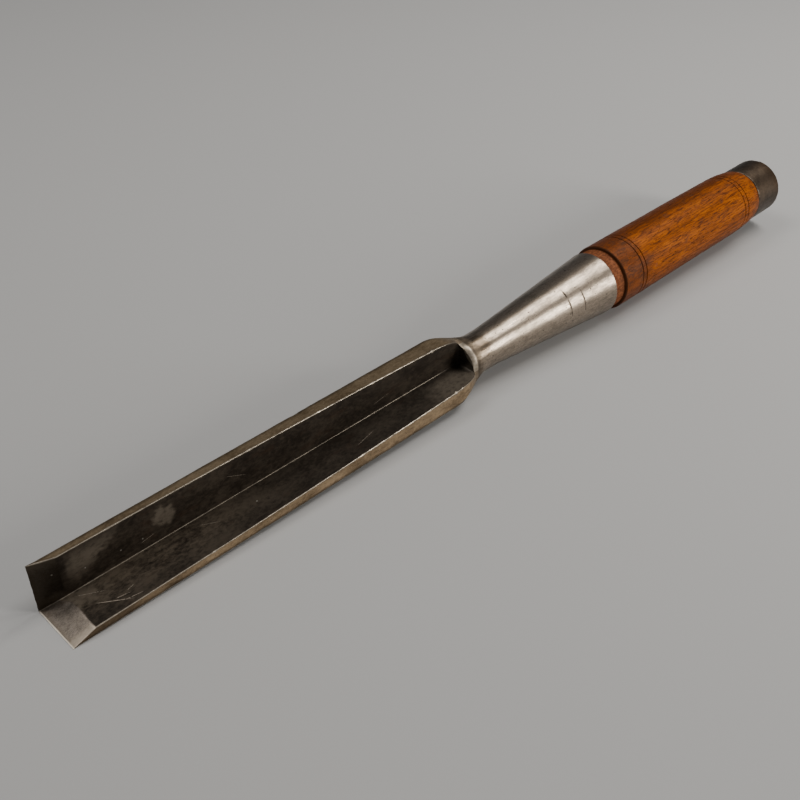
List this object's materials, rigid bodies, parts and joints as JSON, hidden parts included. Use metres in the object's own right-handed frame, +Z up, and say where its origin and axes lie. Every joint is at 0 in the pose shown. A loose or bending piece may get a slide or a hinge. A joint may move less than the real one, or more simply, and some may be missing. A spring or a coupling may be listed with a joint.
{
  "type": "socket corner chisel",
  "caption": "Socket corner chisel with a right-angled, V-section blade bevelled inside, a tapered steel socket and a hooped hardwood handle, lying on its side.",
  "frame": {"origin": "on the bench, under the middle of the tool's bounding box, which is straight below the socket's axis", "axes": "+X runs along the tool from the cutting edges to the butt, +Z is up from the bench, and the blade's near wing points to -Y with its channel open up and to -Y"},
  "size_m": [0.506, 0.037, 0.0398],
  "materials": {
    "blade_steel": "old forged and ground steel with a dark brown patina, bright at the arrises and the honed bevels",
    "socket_steel": "turned and polished steel, lightly pitted, with fine scribed rings",
    "handle_wood": "amber hardwood under old shellac, darker and redder at the ends",
    "hoop_steel": "worn grey-brown steel, bright at the near rim"
  },
  "bodies": {
    "forging": {"corner_blade": "blade_steel", "socket": "socket_steel"},
    "hooped_handle": {"handle": "handle_wood", "hoop": "hoop_steel"}
  },
  "joints": [
    {"name": "handle_withdraw", "type": "slide", "parent": "forging", "child": "hooped_handle", "axis": [0.9997, 0, 0.024], "range_m": [0, 0.09]}
  ]
}
